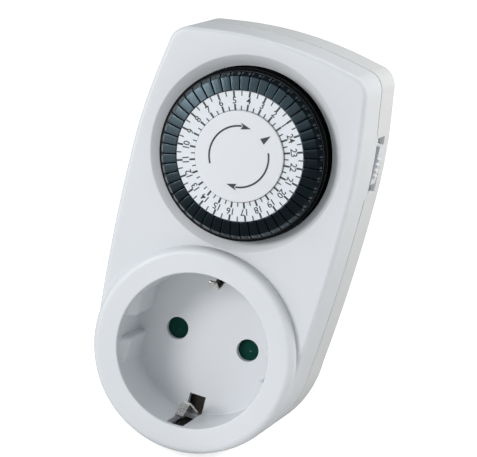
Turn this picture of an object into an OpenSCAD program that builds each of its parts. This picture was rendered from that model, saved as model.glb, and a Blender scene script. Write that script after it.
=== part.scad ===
// Plug-in 24-hour mechanical timer with a pass-through earthed socket.
// Row frame: X to the right, Y into the wall, Z up. The origin is where the plug's axis meets
// the rear face of the housing. Every piece is drawn lying on that rear face, with x to the
// right, y up the wall and z forward, and upright() then stands it up.

/* [Housing] */
// Width of the housing at its widest point
body_w = 57; // [56:0.5:64]
// Depth of the housing from its rear face to its front face
body_depth = 29.2; // [28.8:0.2:33]
// Distance from the socket's axis up to the dial's axis
axis_spacing = 50.6; // [50:0.2:56]
// Height of the housing's top above the dial's axis
top_rise = 28.4; // [27.6:0.2:34]
// Depth from the rear face to the line where the two shells meet
parting_depth = 14.5; // [13.5:0.1:15.5]
// Wall thickness of both shells
wall = 2; // [1.6:0.1:2.2]
// Rounding of the front edge
edge_r = 1.2; // [0.6:0.1:1.6]
// Rounding of the rear edge
rear_edge_r = 2; // [1:0.1:2.6]
// Rounding of the two top corners
corner_r = 6; // [4:0.5:8]
// Radius of the bowed sides below their widest point
side_r_low = 455; // [350:5:600]
// Radius of the bowed sides above their widest point
side_r_up = 130; // [110:5:180]
// Radius of the bowed top
top_r = 95; // [80:5:140]

/* [Socket and plug] */
// Diameter of the socket's recess
socket_d = 38.9; // [38.6:0.1:39.4]
// Depth of the socket's recess from the collar's front
socket_depth = 17.5; // [17:0.1:18]
// Outer diameter of the socket's collar
collar_d = 51.6; // [50:0.2:52.4]
// How far the collar stands proud of the front face
collar_h = 2.8; // [1.6:0.1:4]
// Wall round the socket's recess, and its floor
cup_wall = 1.8; // [1.4:0.1:2.2]
// Distance between the two pins, in socket and plug
pin_spacing = 19; // [18.8:0.1:19.2]
// Diameter of the pin holes in the socket's floor
pin_hole_d = 5.7; // [5:0.1:6]
// Width of the slots for the earth clips
clip_slot_w = 3.7; // [3.4:0.1:4.2]
// Distance of the flat guide pads from the socket's axis
pad_x = 17; // [16.8:0.1:18]
// Width of the groove between two guide pads
pad_groove = 5.8; // [4.4:0.2:6]
// Diameter of the plug's two pins
plug_pin_d = 4.8; // [4.6:0.1:5]
// Length of the pins beyond the plug's front
plug_pin_len = 19; // [18:0.5:20]
// Diameter of the plug's body
boss_d = 37; // [36:0.1:37.6]
// Length of the plug's body behind the housing
boss_len = 17.5; // [17:0.1:18]

/* [Dial] */
// Diameter of the printed 24-hour ring
ring_d = 32; // [31:0.2:33]
// How far the printed ring stands proud of the front face
ring_proud = 4.9; // [4.4:0.1:5.6]
// Diameter of the fixed disc in the middle of the dial
cap_d = 22.4; // [18:0.2:23]
// Thickness of the fixed disc
cap_t = 1; // [0.8:0.1:1.4]
// Outer diameter of the dial's rim
rim_d = 42.2; // [41.8:0.1:42.6]
// Number of switching tabs round the dial
tab_count = 48; // [48]
// Stroke of a switching tab
tab_travel = 2.2; // [1.8:0.1:2.4]
// Angle of the first gap between two tabs
tab_phase = -0.4; // [-3:0.1:3]
// Diameter of the dished opening at the front face
dish_d = 48.8; // [46:0.2:49]
// Depth of the dish
dish_depth = 2.3; // [1.6:0.1:2.6]

/* [Movement] */
// Module of the dial's teeth
dial_module = 0.6; // [0.6]
// Teeth on the dial
dial_teeth = 72; // [72]
// Teeth on the drive pinion
drive_teeth = 10; // [10]
// Module of the train's gears
train_module = 0.3; // [0.3]
// Teeth on each wheel of the train
wheel_teeth = 48; // [48]
// Teeth on each pinion of the train
pinion_teeth = 12; // [12]
// Depth of the movement plate behind the front face
plate_depth = 12.7; // [12.7:0.1:13.2]
// Thickness of the movement plate
plate_t = 1.5; // [1.2:0.1:2]
// Diameter of the motor's can
motor_d = 25; // [22:0.5:26]
// Radial clearance of a running fit
fit = 0.05; // [0.03:0.01:0.08]
// Gap left between pieces that must not touch
gap = 0.3; // [0.2:0.05:0.4]

/* [Slide switch] */
// Height of the switch's window, along the side
window_h = 14.2; // [12:0.2:16]
// Depth of the window behind the parting line
window_w = 7.4; // [6:0.2:8]
// Travel of the slide switch each way
slide_travel = 2; // [1:0.25:2.5]

/* [Hidden] */

small = 0.01;
round_fn = 96;
half_w = body_w / 2;
top_y = axis_spacing + top_rise;
bow_y = 45;
corner_y = top_y - corner_r - pow(half_w - 8.5, 2) / (2 * top_r);
corner_x = side_x(corner_y) - corner_r + 0.1;
face_z = body_depth;
collar_z = face_z + collar_h;
socket_r = socket_d / 2;
clip_y = socket_r + 0.45;
floor_z = collar_z - socket_depth;
cup_r = socket_r + cup_wall;
ring_z = face_z + ring_proud;
ring_t = 1;
rim_r = rim_d / 2;
rim_wall = 0.65;
hole_r = rim_r + 0.4;
plate_z = face_z - plate_depth;
plate_back = plate_z - plate_t;

// Dial stack, from the printed ring down to the teeth
tab_front = ring_z - 0.1;
tab_h = 3.4;
tab_back = tab_front - tab_h;
rim_front = tab_front - 2.6;
web_front = tab_back - tab_travel - 0.2;
web_back = web_front - 1.2;
tail_end = web_back - 1.4;
teeth_front = face_z - 4.4;
teeth_back = teeth_front - 2.2;
tab_in = ring_d / 2 + 0.15;
tab_out = rim_r - rim_wall - gap;
tab_pitch = 360 / tab_count;
tab_gap_angle = 0.8;
tail_r = tab_in + 1.2;
tail_len = 1.8;
tail_w = 1.1;
post_r = 2.5;
hub_r = 4.6;

// Centres of the gear train
drive_dist = (dial_teeth + drive_teeth) / 2 * dial_module + 0.06;
train_dist = (wheel_teeth + pinion_teeth) / 2 * train_module + 0.05;
drive_angle = -60;
idler_2_angle = 115;
idler_1_angle = 180;
rotor_angle = 160;
dial_c = [0, axis_spacing];
drive_c = dial_c + polar(drive_dist, drive_angle);
idler_2_c = drive_c + polar(train_dist, idler_2_angle);
idler_1_c = idler_2_c + polar(train_dist, idler_1_angle);
rotor_c = idler_1_c + polar(train_dist, rotor_angle);
pin_r = 0.8;
shaft_r = 1;
drive_hub_r = 2;

// Levels of the gear train above the movement plate
idler_2_wheel_z = plate_z + 0.9;
idler_1_pinion_z = plate_z + 0.7;
idler_2_pinion_z = plate_z + 2;
clutch_z = plate_z + 2.7;
idler_1_wheel_z = plate_z + 4.3;

// Screw pillars: two beside the socket, two in the top corners
pillar_low = [half_w - 5.5, 24];
pillar_high = [half_w - 8.7, axis_spacing + 17.8];
pillars = [pillar_low, [-pillar_low[0], pillar_low[1]], pillar_high, [-pillar_high[0], pillar_high[1]]];
pillar_r = 2.8;
post_meet = 8;
screw_r = 1.25;

// Switch lever and contacts, to the right of the gear train
finger_r = tail_r + tail_len / 2;
finger_y = axis_spacing + finger_r * sin(tab_phase);
lever_pivot_y = axis_spacing + 12.4;
lever_pivot_z = plate_z + 2.8;
lever_arm_z = plate_z + 2.1;
contact_x = finger_r;
blade_z = plate_z + 1.2;
blade_y0 = axis_spacing - 19.6;
blade_y1 = axis_spacing - 1.8;
contact_y = axis_spacing - 3.2;

boss_r = boss_d / 2;
pin_root_r = plug_pin_d / 2 + 0.3;
notch_w = 5.2;
strip_t = 0.8;
window_y = axis_spacing + 3.1;
slide_x = side_x(window_y + window_h / 2 + 4.5) - wall - 0.9;
slide_z = parting_depth - 1.2 - window_w;
lead_y = boss_r - wall - 7.5;

function polar(r, a) = [r * cos(a), r * sin(a)];
function side_x(y) = half_w - pow(y - bow_y, 2) / (2 * (y > bow_y ? side_r_up : side_r_low));
function end_r() = side_x(0);

// Outline of the housing seen from the front, drawn in by inset
function outline(inset) =
    let (r = end_r() - inset, cr = corner_r - inset, top = corner_y + corner_r)
    concat(
        [for (a = [180:10:360]) polar(r, a)],
        [for (y = [8:8:64]) [side_x(y) - inset, y]],
        [for (a = [11:13.4:78]) [corner_x, corner_y] + polar(cr, a)],
        [for (x = [15:-5:-15]) [x, top - inset + (pow(corner_x, 2) - x * x) / (2 * top_r)]],
        [for (a = [102:13.4:169]) [-corner_x, corner_y] + polar(cr, a)],
        [for (y = [64:-8:8]) [inset - side_x(y), y]]);

// Outline of a straight-flanked gear with relieved tips
function gear_outline(n, m, thick) =
    [for (i = [0:n - 1])
        for (p = [[-0.5 + 0.03, -1.2], [-thick * 0.62, -1.2], [-thick / 2, 0], [-thick * 0.22, 0.95],
                  [thick * 0.22, 0.95], [thick / 2, 0], [thick * 0.62, -1.2]])
            polar(n * m / 2 + p[1] * m, 360 / n * (i + p[0]))];

module upright() {
    rotate([90, 0, 0]) children();
}

module at(c, z = 0) {
    translate([c[0], c[1], z]) children();
}

module disc(r, h) {
    cylinder(r = r, h = h, $fn = round_fn);
}

module tube(r_out, r_in, h) {
    difference() {
        disc(r_out, h);
        translate([0, 0, -small]) disc(r_in, h + 2 * small);
    }
}

// Block with the housing's outline between two depths, its edges eased in small steps
module prism(z0, z1, rear, front) {
    for (s = [[0, 0.6], [0.18, 0.25], [0.55, 0]])
        translate([0, 0, z0 + s[0] * rear])
            linear_extrude(z1 - z0 - s[0] * (rear + front)) polygon(outline(s[1] * (rear + front)));
}

// Gear of n teeth with its first tooth turned to the angle turn
module gear(n, m, h, bore, turn, thick = 0.44) {
    difference() {
        rotate([0, 0, turn]) linear_extrude(h) polygon(gear_outline(n, m, thick));
        translate([0, 0, -1]) disc(bore, h + 2);
    }
}

// Strip of sheet metal: a bent outline in the y-z plane, w wide about x = 0
module strip(points, w) {
    translate([-w / 2, 0, 0]) rotate([90, 0, 90]) linear_extrude(w) polygon(points);
}

module front_shell() color("whitesmoke") upright() {
    difference() {
        union() {
            difference() {
                prism(parting_depth, face_z, 0, edge_r);
                translate([0, 0, parting_depth - 1])
                    linear_extrude(face_z - wall - parting_depth + 1) polygon(outline(wall));
            }
            // Back of the dish
            at(dial_c, face_z - dish_depth - 1.2) tube(dish_d / 2 + 1, hole_r - 0.1, dish_depth + 0.8);
            // Socket cup and collar
            translate([0, 0, floor_z - cup_wall]) disc(cup_r, collar_z - floor_z);
            translate([0, 0, face_z]) rotate_extrude($fn = round_fn)
                polygon([[0, -1.2], [collar_d / 2 + 0.2, -1.2], [collar_d / 2, collar_h - 0.8],
                    [collar_d / 2 - 0.3, collar_h - 0.25], [collar_d / 2 - 0.9, collar_h], [0, collar_h]]);
            for (p = pillars)
                at(p, plate_z) disc(pillar_r + 0.5, face_z - plate_z - 1);
            for (p = pillars)
                at(p, post_meet) disc(pillar_r, plate_z - post_meet + 1);
        }
        // Dished opening for the dial
        at(dial_c, face_z - dish_depth) cylinder(r1 = hole_r, r2 = dish_d / 2, h = dish_depth, $fn = round_fn);
        at(dial_c, face_z - small) disc(dish_d / 2, 1);
        at(dial_c, face_z - dish_depth - 2) disc(hole_r, 3);
        // Socket recess, pin holes and earth windows
        translate([0, 0, floor_z]) disc(socket_r, socket_depth + 1);
        for (s = [-1, 1])
            translate([s * pin_spacing / 2, 0, floor_z - cup_wall - 1]) disc(pin_hole_d / 2, cup_wall + 2);
        for (s = [0, 180])
            rotate([0, 0, s]) {
                translate([-clip_slot_w / 2, clip_y - 4.8, floor_z - cup_wall - 1])
                    cube([clip_slot_w, 4.8 + small, cup_wall + 2]);
                translate([-clip_slot_w / 2, socket_r - 1, floor_z])
                    cube([clip_slot_w, cup_wall + 3, socket_depth - 1.5]);
            }
        for (p = pillars)
            at(p, post_meet - small) disc(screw_r + fit, 11);
    }
    // Paired flat guide pads at each side of the recess, sloped back towards its mouth
    intersection() {
        translate([0, 0, floor_z - small]) disc(socket_r + 0.5, socket_depth);
        for (s = [0, 180])
            rotate([0, 0, s])
                for (y = [pad_groove / 2, -pad_groove / 2 - 7])
                    translate([0, y + 7, 0]) rotate([90, 0, 0]) linear_extrude(7)
                        polygon([[pad_x, floor_z - small], [pad_x, floor_z + 12], [socket_r - 0.1, floor_z + 16],
                            [socket_r + 1, floor_z + 16], [socket_r + 1, floor_z - small]]);
    }
    // Rails for the shutter behind the floor
    for (s = [-1, 1])
        translate([s * (pin_spacing / 2 + 5.2) - 0.6, -6, floor_z - cup_wall - 1.2])
            cube([1.2, 16, 1.2 + small]);
}

module rear_shell() color("gainsboro") upright() {
    difference() {
        union() {
            difference() {
                prism(0, parting_depth - small, rear_edge_r, 0);
                translate([0, 0, wall]) linear_extrude(parting_depth) polygon(outline(wall));
            }
            // Lip that lines the front shell, cut away round the screw pillars
            difference() {
                union() {
                    lip(parting_depth - 1.5, 1.5 - small, wall - 0.2);
                    lip(parting_depth - 1.5, 2.7, wall + 0.2);
                }
                for (p = pillars)
                    at(p, post_meet) disc(pillar_r + gap, body_depth);
            }
            for (p = pillars)
                at(p) disc(pillar_r + 1.4, post_meet - small);
            translate([0, 0, -boss_len]) disc(boss_r, boss_len + wall);
        }
        // Hollow of the plug body
        translate([0, 0, -boss_len + wall]) disc(boss_r - wall, boss_len + 1);
        for (p = pillars) {
            at(p, -1) disc(pillar_r, 4.5);
            at(p, -1) disc(screw_r + 0.25, post_meet + 2);
        }
        slide_window();
        // Side grooves, earth slots and pin holes of the plug
        for (s = [0, 90, 180, 270])
            rotate([0, 0, s]) translate([boss_r - wall - 0.4, -notch_w / 2, -boss_len - 1])
                cube([4, notch_w, boss_len + 0.6]);
        for (s = [-1, 1])
            translate([s * pin_spacing / 2, 0, -boss_len - 1]) disc(pin_root_r + fit, wall + 2);
    }
    // Backs of the grooves and slots, and the standing ribs for the right contact
    for (s = [0, 90, 180, 270])
        rotate([0, 0, s]) translate([boss_r - wall - 1.6, -notch_w / 2 - 1, -boss_len + wall - small])
            cube([1.4, notch_w + 2, boss_len - wall - 2.4]);
    for (y = [-5.2, 3.8])
        translate([pin_spacing / 2 - 2.6, y, -boss_len + wall - small]) cube([5.2, 1.4, 6.4]);
}

module lip(z, h, inset) {
    translate([0, 0, z]) linear_extrude(h) difference() {
        polygon(outline(inset));
        polygon(outline(wall + 1));
    }
}

// Opening in the right side for the slide switch, open to the parting line
module slide_window() {
    translate([half_w - 8, window_y - window_h / 2, slide_z])
        cube([10, window_h, window_w + 1.2 + 2]);
}

module housing_screws() color("silver") upright() {
    for (p = pillars)
        at(p) {
            translate([0, 0, 1]) disc(pillar_r - 0.3, 2.4);
            translate([0, 0, 3]) disc(screw_r, 12);
        }
}

module plug_pin(s, stub_top) color("silver") upright() {
    r = plug_pin_d / 2;
    tip = -boss_len - plug_pin_len;
    seat = -boss_len + wall;
    translate([s * pin_spacing / 2, 0, 0]) rotate_extrude($fn = round_fn)
        polygon([[0, tip], [r - 0.9, tip], [r, tip + 1], [r, -boss_len - 0.4], [pin_root_r, -boss_len - 0.1],
            [pin_root_r, seat], [r + 1, seat], [r + 1, seat + 1], [1.5, seat + 1], [1.5, stub_top], [0, stub_top]]);
}

module plug_pin_left() plug_pin(-1, -8.4);

module plug_pin_right() plug_pin(1, -11.2);

module plug_earth_strip() color("silver") upright() {
    arm = boss_r - 0.3;
    strip([[-arm, -boss_len + 1.5], [-arm + strip_t, -boss_len + 1.5], [-arm + strip_t, -1.6], [arm - strip_t, -1.6],
        [arm - strip_t, -boss_len + 1.5], [arm, -boss_len + 1.5], [arm, -0.8], [-arm, -0.8]], notch_w - 0.6);
}

// One arm of the socket's earth strip: up through the floor, in to a sprung crest and out again
function earth_arm() = let (z = floor_z) [
    [clip_y, z - 3.6], [clip_y, z + 0.4], [15.7, z + 8.6], [15.5, z + 9.4], [15.8, z + 10.2],
    [18, z + 14.2], [17.5, z + 14.5], [15.1, z + 10.3], [14.8, z + 9.4], [15.1, z + 8.2],
    [clip_y - 0.6, z + 0.1], [clip_y - 0.6, z - 3.6]];

module socket_earth_strip() color("silver") upright() {
    clip_w = clip_slot_w - 0.4;
    for (s = [0, 180])
        rotate([0, 0, s]) strip(earth_arm(), clip_w);
    translate([-clip_w / 2, -clip_y, floor_z - 3.6]) cube([clip_w, 2 * clip_y, strip_t]);
}

// Fork that grips a plug's pin: a base with two leaves
module contact_fork(x, base_z, top_z, bore) {
    translate([x, 0, 0]) {
        difference() {
            translate([-3.2, -2.5, base_z]) cube([6.4, 5, 0.8]);
            translate([0, 0, base_z - 1]) disc(bore, 3);
        }
        for (s = [0, 180])
            rotate([0, 0, s]) translate([2.6, -2.5, base_z]) cube([0.6, 5, top_z - base_z]);
    }
}

module contact_left() color("goldenrod") upright()
    contact_fork(-pin_spacing / 2, -boss_len + wall + 6.4, floor_z - cup_wall - 3, 1.5 + fit);

module contact_right() color("goldenrod") upright()
    difference() {
        union() {
            contact_fork(pin_spacing / 2, -boss_len + wall + 6.4, floor_z - cup_wall - 3, 0.8);
            translate([pin_spacing / 2 - 2.6, -5.2, -boss_len + wall + 6.4]) cube([5.2, 10.4, 0.8]);
        }
        translate([pin_spacing / 2, 0, -boss_len + wall + 6]) disc(0.8, 3);
    }

// Sprung slider that closes both pin holes
module shutter() color("darkgreen") upright() {
    z = floor_z - cup_wall - 0.8;
    for (s = [-1, 1])
        translate([s * pin_spacing / 2, 0, z]) disc(pin_hole_d / 2 + 0.6, 0.7);
    translate([-pin_spacing / 2, -2, z]) cube([pin_spacing, 4, 0.7]);
}

module movement_plate() color("darkgray") upright() {
    difference() {
        union() {
            translate([0, 0, plate_back]) linear_extrude(plate_t) intersection() {
                polygon(outline(wall + 1.3));
                plate_outline();
            }
            lever_ear(contact_x - 3.6);
            lever_ear(contact_x + 2.4);
        }
        for (p = pillars)
            at(p, plate_back - 1) disc(pillar_r + 0.1, plate_t + 2);
        at(dial_c, plate_back - 1) disc(post_r + fit, plate_t + 2);
        for (c = [drive_c, idler_1_c, idler_2_c])
            at(c, plate_back - 1) disc(pin_r, plate_t + 2);
        at(rotor_c, plate_back - 1) disc(shaft_r + fit, plate_t + 2);
        for (s = [-1, 1])
            at(rotor_c, plate_back - 1) translate([s * (motor_d / 2 + 1.8), 0, 0]) disc(0.8 + fit, plate_t + 2);
        // Window behind the moving contact
        translate([contact_x - 3, axis_spacing - 14.2, plate_back - 1]) cube([6, 17.7, plate_t + 2]);
        translate([contact_x - 3, 20, plate_back - 1]) cube([4, 7.6, plate_t + 2]);
        for (x = [contact_x - 4, contact_x + 2])
            translate([x, lever_pivot_y, lever_pivot_z]) rotate([0, 90, 0]) disc(0.9, 2);
        // Room for the slide's plate and its travel
        translate([slide_x - 0.9 - gap, window_y - window_h / 2 - 2 * slide_travel - 1, slide_z])
            cube([8, window_h + 4 * slide_travel + 2, window_w + gap]);
    }
}

module plate_outline() {
    polygon([[-pillar_low[0] - 3, 22], [-pillar_low[0] + 5, 22], [-pillar_low[0] + 7, 24.5],
        [pillar_low[0] - 7, 24.5], [pillar_low[0] - 5, 22], [pillar_low[0] + 3, 22],
        [pillar_low[0] + 3, pillar_high[1] + 4], [pillar_high[0] + 3, pillar_high[1] + 7],
        [-pillar_high[0] - 3, pillar_high[1] + 7], [-pillar_low[0] - 3, pillar_high[1] + 4]]);
}

module lever_ear(x) {
    translate([x, lever_pivot_y - 1.9, plate_z - small]) cube([1.2, 3.8, lever_pivot_z - plate_z + 1.7]);
}

module dial_post() color("silver") upright() at(dial_c) {
    difference() {
        union() {
            translate([0, 0, plate_back]) disc(post_r, ring_z + 0.2 - plate_back);
            translate([0, 0, plate_z]) disc(4.2, teeth_back - gap - plate_z);
        }
        translate([0, 0, ring_z - 8]) disc(1.5, 9);
    }
}

// Fixed pins that the train's gears turn on
module gear_pins() color("silver") upright() {
    at(drive_c, plate_back) disc(pin_r, teeth_front + 0.5 - plate_back);
    at(idler_1_c, plate_back) disc(pin_r, idler_1_wheel_z + 1.2 - plate_back);
    at(idler_2_c, plate_back) disc(pin_r, idler_2_pinion_z + 1.9 - plate_back);
}

// Moulded wheel that carries the tabs and the printed ring, with teeth round its back
module dial_wheel() color("dimgray") upright() at(dial_c) {
    difference() {
        union() {
            rotate_extrude($fn = round_fn) polygon([
                [0, ring_z - ring_t], [tab_in - gap, ring_z - ring_t], [tab_in - gap, web_front],
                [rim_r - rim_wall, web_front], [rim_r - rim_wall, rim_front + 1], [rim_r, rim_front],
                [rim_r, teeth_back], [rim_r - rim_wall - 0.1, teeth_back],
                [rim_r - rim_wall - 0.1, web_back], [tab_in - 1.4, web_back],
                [tab_in - 1.4, ring_z - ring_t - 1.2], [hub_r, ring_z - ring_t - 1.2],
                [hub_r, teeth_back], [0, teeth_back]]);
            translate([0, 0, teeth_back]) linear_extrude(teeth_front - teeth_back) difference() {
                polygon(gear_outline(dial_teeth, dial_module, 0.44));
                circle(r = rim_r - rim_wall, $fn = round_fn);
            }
        }
        translate([0, 0, teeth_back - 1]) disc(post_r + fit, ring_z - teeth_back + 2);
        for (i = [0:tab_count - 1])
            rotate([0, 0, tab_phase + tab_pitch * (i + 0.5)])
                translate([tail_r - 0.15, -tail_w / 2 - 0.1, web_back - 1])
                    cube([tail_len + 0.3, tail_w + 0.2, 3]);
    }
}

module printed_ring() color("white") upright() at(dial_c, ring_z - ring_t)
    tube(ring_d / 2, hub_r + 0.4, ring_t);

// Fixed disc with the pointer, pressed into the post
module centre_cap() color("white") upright() at(dial_c, ring_z + 0.2) {
    rotate_extrude($fn = round_fn) polygon([[0, 0], [cap_d / 2, 0], [cap_d / 2, cap_t - 0.25],
        [cap_d / 2 - 0.25, cap_t], [0, cap_t]]);
    translate([0, 0, -7]) disc(1.5 - fit, 7 + small);
}

module drive_pinion() color("ivory") upright() at(drive_c) {
    translate([0, 0, teeth_back - 0.2])
        gear(drive_teeth, dial_module, 2.6, pin_r + fit, drive_angle + 180 + 180 / drive_teeth, 0.40);
    translate([0, 0, clutch_z - 0.5]) tube(drive_hub_r, pin_r + fit, teeth_back - clutch_z + 0.4);
    translate([0, 0, clutch_z - 0.5]) tube(3.2, pin_r + fit, 0.4);
}

// Conical washer that presses the clutch wheel against the drive pinion's collar
module clutch_spring() color("silver") upright() at(drive_c, clutch_z + 1.2)
    rotate_extrude($fn = round_fn)
        polygon([[drive_hub_r + 0.1, 1], [4.4, 0], [4.4, 0.25], [drive_hub_r + 0.1, 1.25]]);

module clutch_wheel() color("goldenrod") upright() at(drive_c, clutch_z)
    gear(wheel_teeth, train_module, 1.1, drive_hub_r + fit, idler_2_angle);

module idler_gear_2() color("ivory") upright() at(idler_2_c) {
    translate([0, 0, idler_2_wheel_z]) gear(wheel_teeth, train_module, 0.9, pin_r + fit, idler_1_angle);
    translate([0, 0, idler_2_wheel_z + 0.8])
        gear(pinion_teeth, train_module, 2.6, pin_r + fit, idler_2_angle + 180 + 180 / pinion_teeth, 0.42);
}

module idler_gear_1() color("ivory") upright() at(idler_1_c) {
    translate([0, 0, idler_1_wheel_z]) gear(wheel_teeth, train_module, 0.9, pin_r + fit, rotor_angle);
    translate([0, 0, idler_1_pinion_z])
        gear(pinion_teeth, train_module, idler_1_wheel_z - idler_1_pinion_z + small, pin_r + fit,
            idler_1_angle + 180 + 180 / pinion_teeth, 0.42);
}

module rotor_shaft() color("silver") upright() at(rotor_c) {
    translate([0, 0, wall + 0.8]) disc(shaft_r, idler_1_wheel_z + 1.2 - wall - 0.8);
    translate([0, 0, idler_1_wheel_z - 0.3])
        gear(pinion_teeth, train_module, 1.4, shaft_r - 0.2, rotor_angle + 180 + 180 / pinion_teeth, 0.42);
}

module rotor_magnet() color("black") upright() at(rotor_c, wall + 2.6)
    tube(4.2, shaft_r, plate_back - wall - 4.2);

// Deep-drawn steel can with two ears against the movement plate
module motor_can() color("lightslategray") upright() at(rotor_c) {
    difference() {
        translate([0, 0, wall + 0.6]) disc(motor_d / 2, plate_back - wall - 0.6);
        translate([0, 0, wall + 1.4]) disc(motor_d / 2 - 0.8, plate_back);
        translate([0, 0, wall]) disc(shaft_r + fit, 3);
    }
    for (s = [0, 180])
        rotate([0, 0, s]) difference() {
            translate([motor_d / 2 - 0.4, -2.2, plate_back - 0.8]) cube([4, 4.4, 0.8]);
            translate([motor_d / 2 + 1.8, 0, plate_back - 1]) disc(0.8 + fit, 2);
        }
}

// Ring of claw poles between the coil and the magnet
module motor_poles() color("slategray") upright() at(rotor_c, wall + 1.4)
    difference() {
        tube(5.3, 4.7, plate_back - wall - 1.8);
        for (a = [0:45:315])
            rotate([0, 0, a]) translate([4, -0.5, 0.8]) cube([2, 1, plate_back]);
    }

module motor_bobbin() color("ivory") upright() at(rotor_c, wall + 1.5) {
    h = plate_back - wall - 2;
    tube(6.2, 5.4, h);
    tube(11.4, 5.4, 0.7);
    translate([0, 0, h - 0.7]) tube(11.4, 5.4, 0.7);
}

module motor_winding() color("chocolate") upright() at(rotor_c, wall + 2.3)
    tube(10.9, 6.2, plate_back - wall - 3.6);

module motor_screws() color("silver") upright() {
    for (s = [-1, 1])
        at(rotor_c) translate([s * (motor_d / 2 + 1.8), 0, 0]) {
            translate([0, 0, plate_back - 2]) disc(1.4, 1.2);
            translate([0, 0, plate_back - 0.9]) disc(0.8, plate_t + 1);
        }
}

// Rocking lever whose finger rides between the tails of the tabs
module follower_lever() color("orange") upright() {
    difference() {
        union() {
            translate([contact_x - 2.2, lever_pivot_y, lever_pivot_z]) rotate([0, 90, 0]) disc(1.7, 4.4);
            translate([contact_x - 1, axis_spacing - 5.6, lever_arm_z])
                cube([2, lever_pivot_y - axis_spacing + 5.6, 1.3]);
            translate([contact_x - 0.8, finger_y - 0.35, lever_arm_z]) cube([1.6, 0.7, tail_end - 0.4 - lever_arm_z]);
        }
        translate([contact_x - 4, lever_pivot_y, lever_pivot_z]) rotate([0, 90, 0]) disc(0.9 + fit, 8);
    }
}

module lever_pin() color("silver") upright()
    translate([contact_x - 3.8, lever_pivot_y, lever_pivot_z]) rotate([0, 90, 0]) disc(0.9, 7.6);

// Insulating block that carries both contacts, through the plate's window
module switch_base() color("sienna") upright() {
    translate([contact_x - 2.6, blade_y0 - 3, plate_z]) cube([5.2, 4, 0.6]);
    translate([contact_x - 4, axis_spacing - 15, plate_back - 5]) cube([8, 4.8, 5]);
    translate([contact_x - 2.8, axis_spacing - 15, plate_back - 5]) cube([5.6, 16, 1.4]);
}

module moving_contact() color("goldenrod") upright() {
    translate([contact_x - 1.5, blade_y0, blade_z]) cube([3, blade_y1 - blade_y0, 0.4]);
    translate([contact_x, contact_y, blade_z - 0.7]) disc(1.1, 0.8);
}

module fixed_contact() color("goldenrod") upright() {
    translate([contact_x - 1.6, axis_spacing - 10, plate_back - 3.6]) cube([3.2, 9.6, 0.6]);
    translate([contact_x, contact_y, plate_back - 3.1]) disc(1.1, 1.4);
}

// Flat strap from the right contact fork up to the moving contact
module load_strap() color("goldenrod") upright() {
    level = 5.4;
    translate([pin_spacing / 2 + 3.2, -2, level]) cube([0.6, 4, 3]);
    translate([0, 0, level]) linear_extrude(0.6) polygon([[pin_spacing / 2 + 3.2, -2], [pin_spacing / 2 + 6, -2],
        [pin_spacing / 2 + 6, 17], [contact_x + 0.4, 24.4], [contact_x + 0.4, 26.4], [contact_x - 2.2, 26.4],
        [contact_x - 2.2, 25], [pin_spacing / 2 + 3.2, 18.6]]);
    translate([contact_x - 2.2, 25.8, level]) cube([2.6, 0.6, plate_z + 1.2 - level]);
    translate([contact_x - 2.2, 25.8, plate_z + 0.6]) cube([2.6, blade_y0 - 25, 0.6]);
}

// Two insulated leads from the motor down to the pins
module motor_leads() color("royalblue") upright() {
    for (s = [-1, 1])
        translate([rotor_c[0] + s * 2.4, 0, 4]) {
            translate([0, lead_y, 0]) rotate([-90, 0, 0]) disc(0.6, rotor_c[1] - motor_d / 2 - 0.8 - lead_y);
            translate([0, lead_y, 0]) sphere(r = 0.6, $fn = 24);
            translate([0, lead_y, -6]) disc(0.6, 6);
        }
}

// Sliding plate inside the right wall with a ribbed pad in the window
module slide_knob() color("whitesmoke") upright() {
    pad_h = window_h - 2 * slide_travel - 0.2;
    pad_w = window_w - 2.2 - 2 * gap;
    translate([slide_x - 0.9, window_y - window_h / 2 - slide_travel - 0.5, slide_z + gap])
        cube([0.9, window_h + 2 * slide_travel + 1, window_w - 2 * gap]);
    translate([slide_x - small, window_y - pad_h / 2, slide_z + gap])
        cube([side_x(window_y) - slide_x + 0.1, pad_h, pad_w]);
    for (i = [-1.5:1:1.5])
        translate([side_x(window_y), window_y + i * 1.9 - 0.4, slide_z + gap])
            cube([0.6, 0.8, pad_w]);
}

// Two neighbouring half-hour tabs with their tails
module tab_pair(k) color("dimgray") upright() at(dial_c)
    for (i = [2 * k - 2, 2 * k - 1])
        rotate([0, 0, tab_phase + tab_pitch * i]) {
            rotate([0, 0, tab_gap_angle / 2])
                rotate_extrude(angle = tab_pitch - tab_gap_angle, $fn = round_fn)
                    polygon([[tab_in, tab_back], [tab_out, tab_back], [tab_out, tab_front - 1.1],
                        [tab_out - 0.7, tab_front], [tab_in, tab_front]]);
            rotate([0, 0, tab_pitch / 2])
                translate([tail_r, -tail_w / 2, tail_end]) cube([tail_len, tail_w, tab_back - tail_end + 0.5]);
        }

front_shell();
rear_shell();
housing_screws();
plug_pin_left();
plug_pin_right();
plug_earth_strip();
socket_earth_strip();
contact_left();
contact_right();
shutter();
movement_plate();
dial_post();
gear_pins();
dial_wheel();
printed_ring();
centre_cap();
drive_pinion();
clutch_spring();
clutch_wheel();
idler_gear_1();
idler_gear_2();
rotor_shaft();
rotor_magnet();
motor_can();
motor_poles();
motor_bobbin();
motor_winding();
motor_screws();
follower_lever();
lever_pin();
switch_base();
moving_contact();
fixed_contact();
load_strap();
motor_leads();
slide_knob();
for (k = [1:24])
    tab_pair(k);
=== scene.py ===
"""A plug-in 24-hour timer with a socket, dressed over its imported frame."""

import math

import bmesh
import bpy
from mathutils import Matrix, Vector


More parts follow.
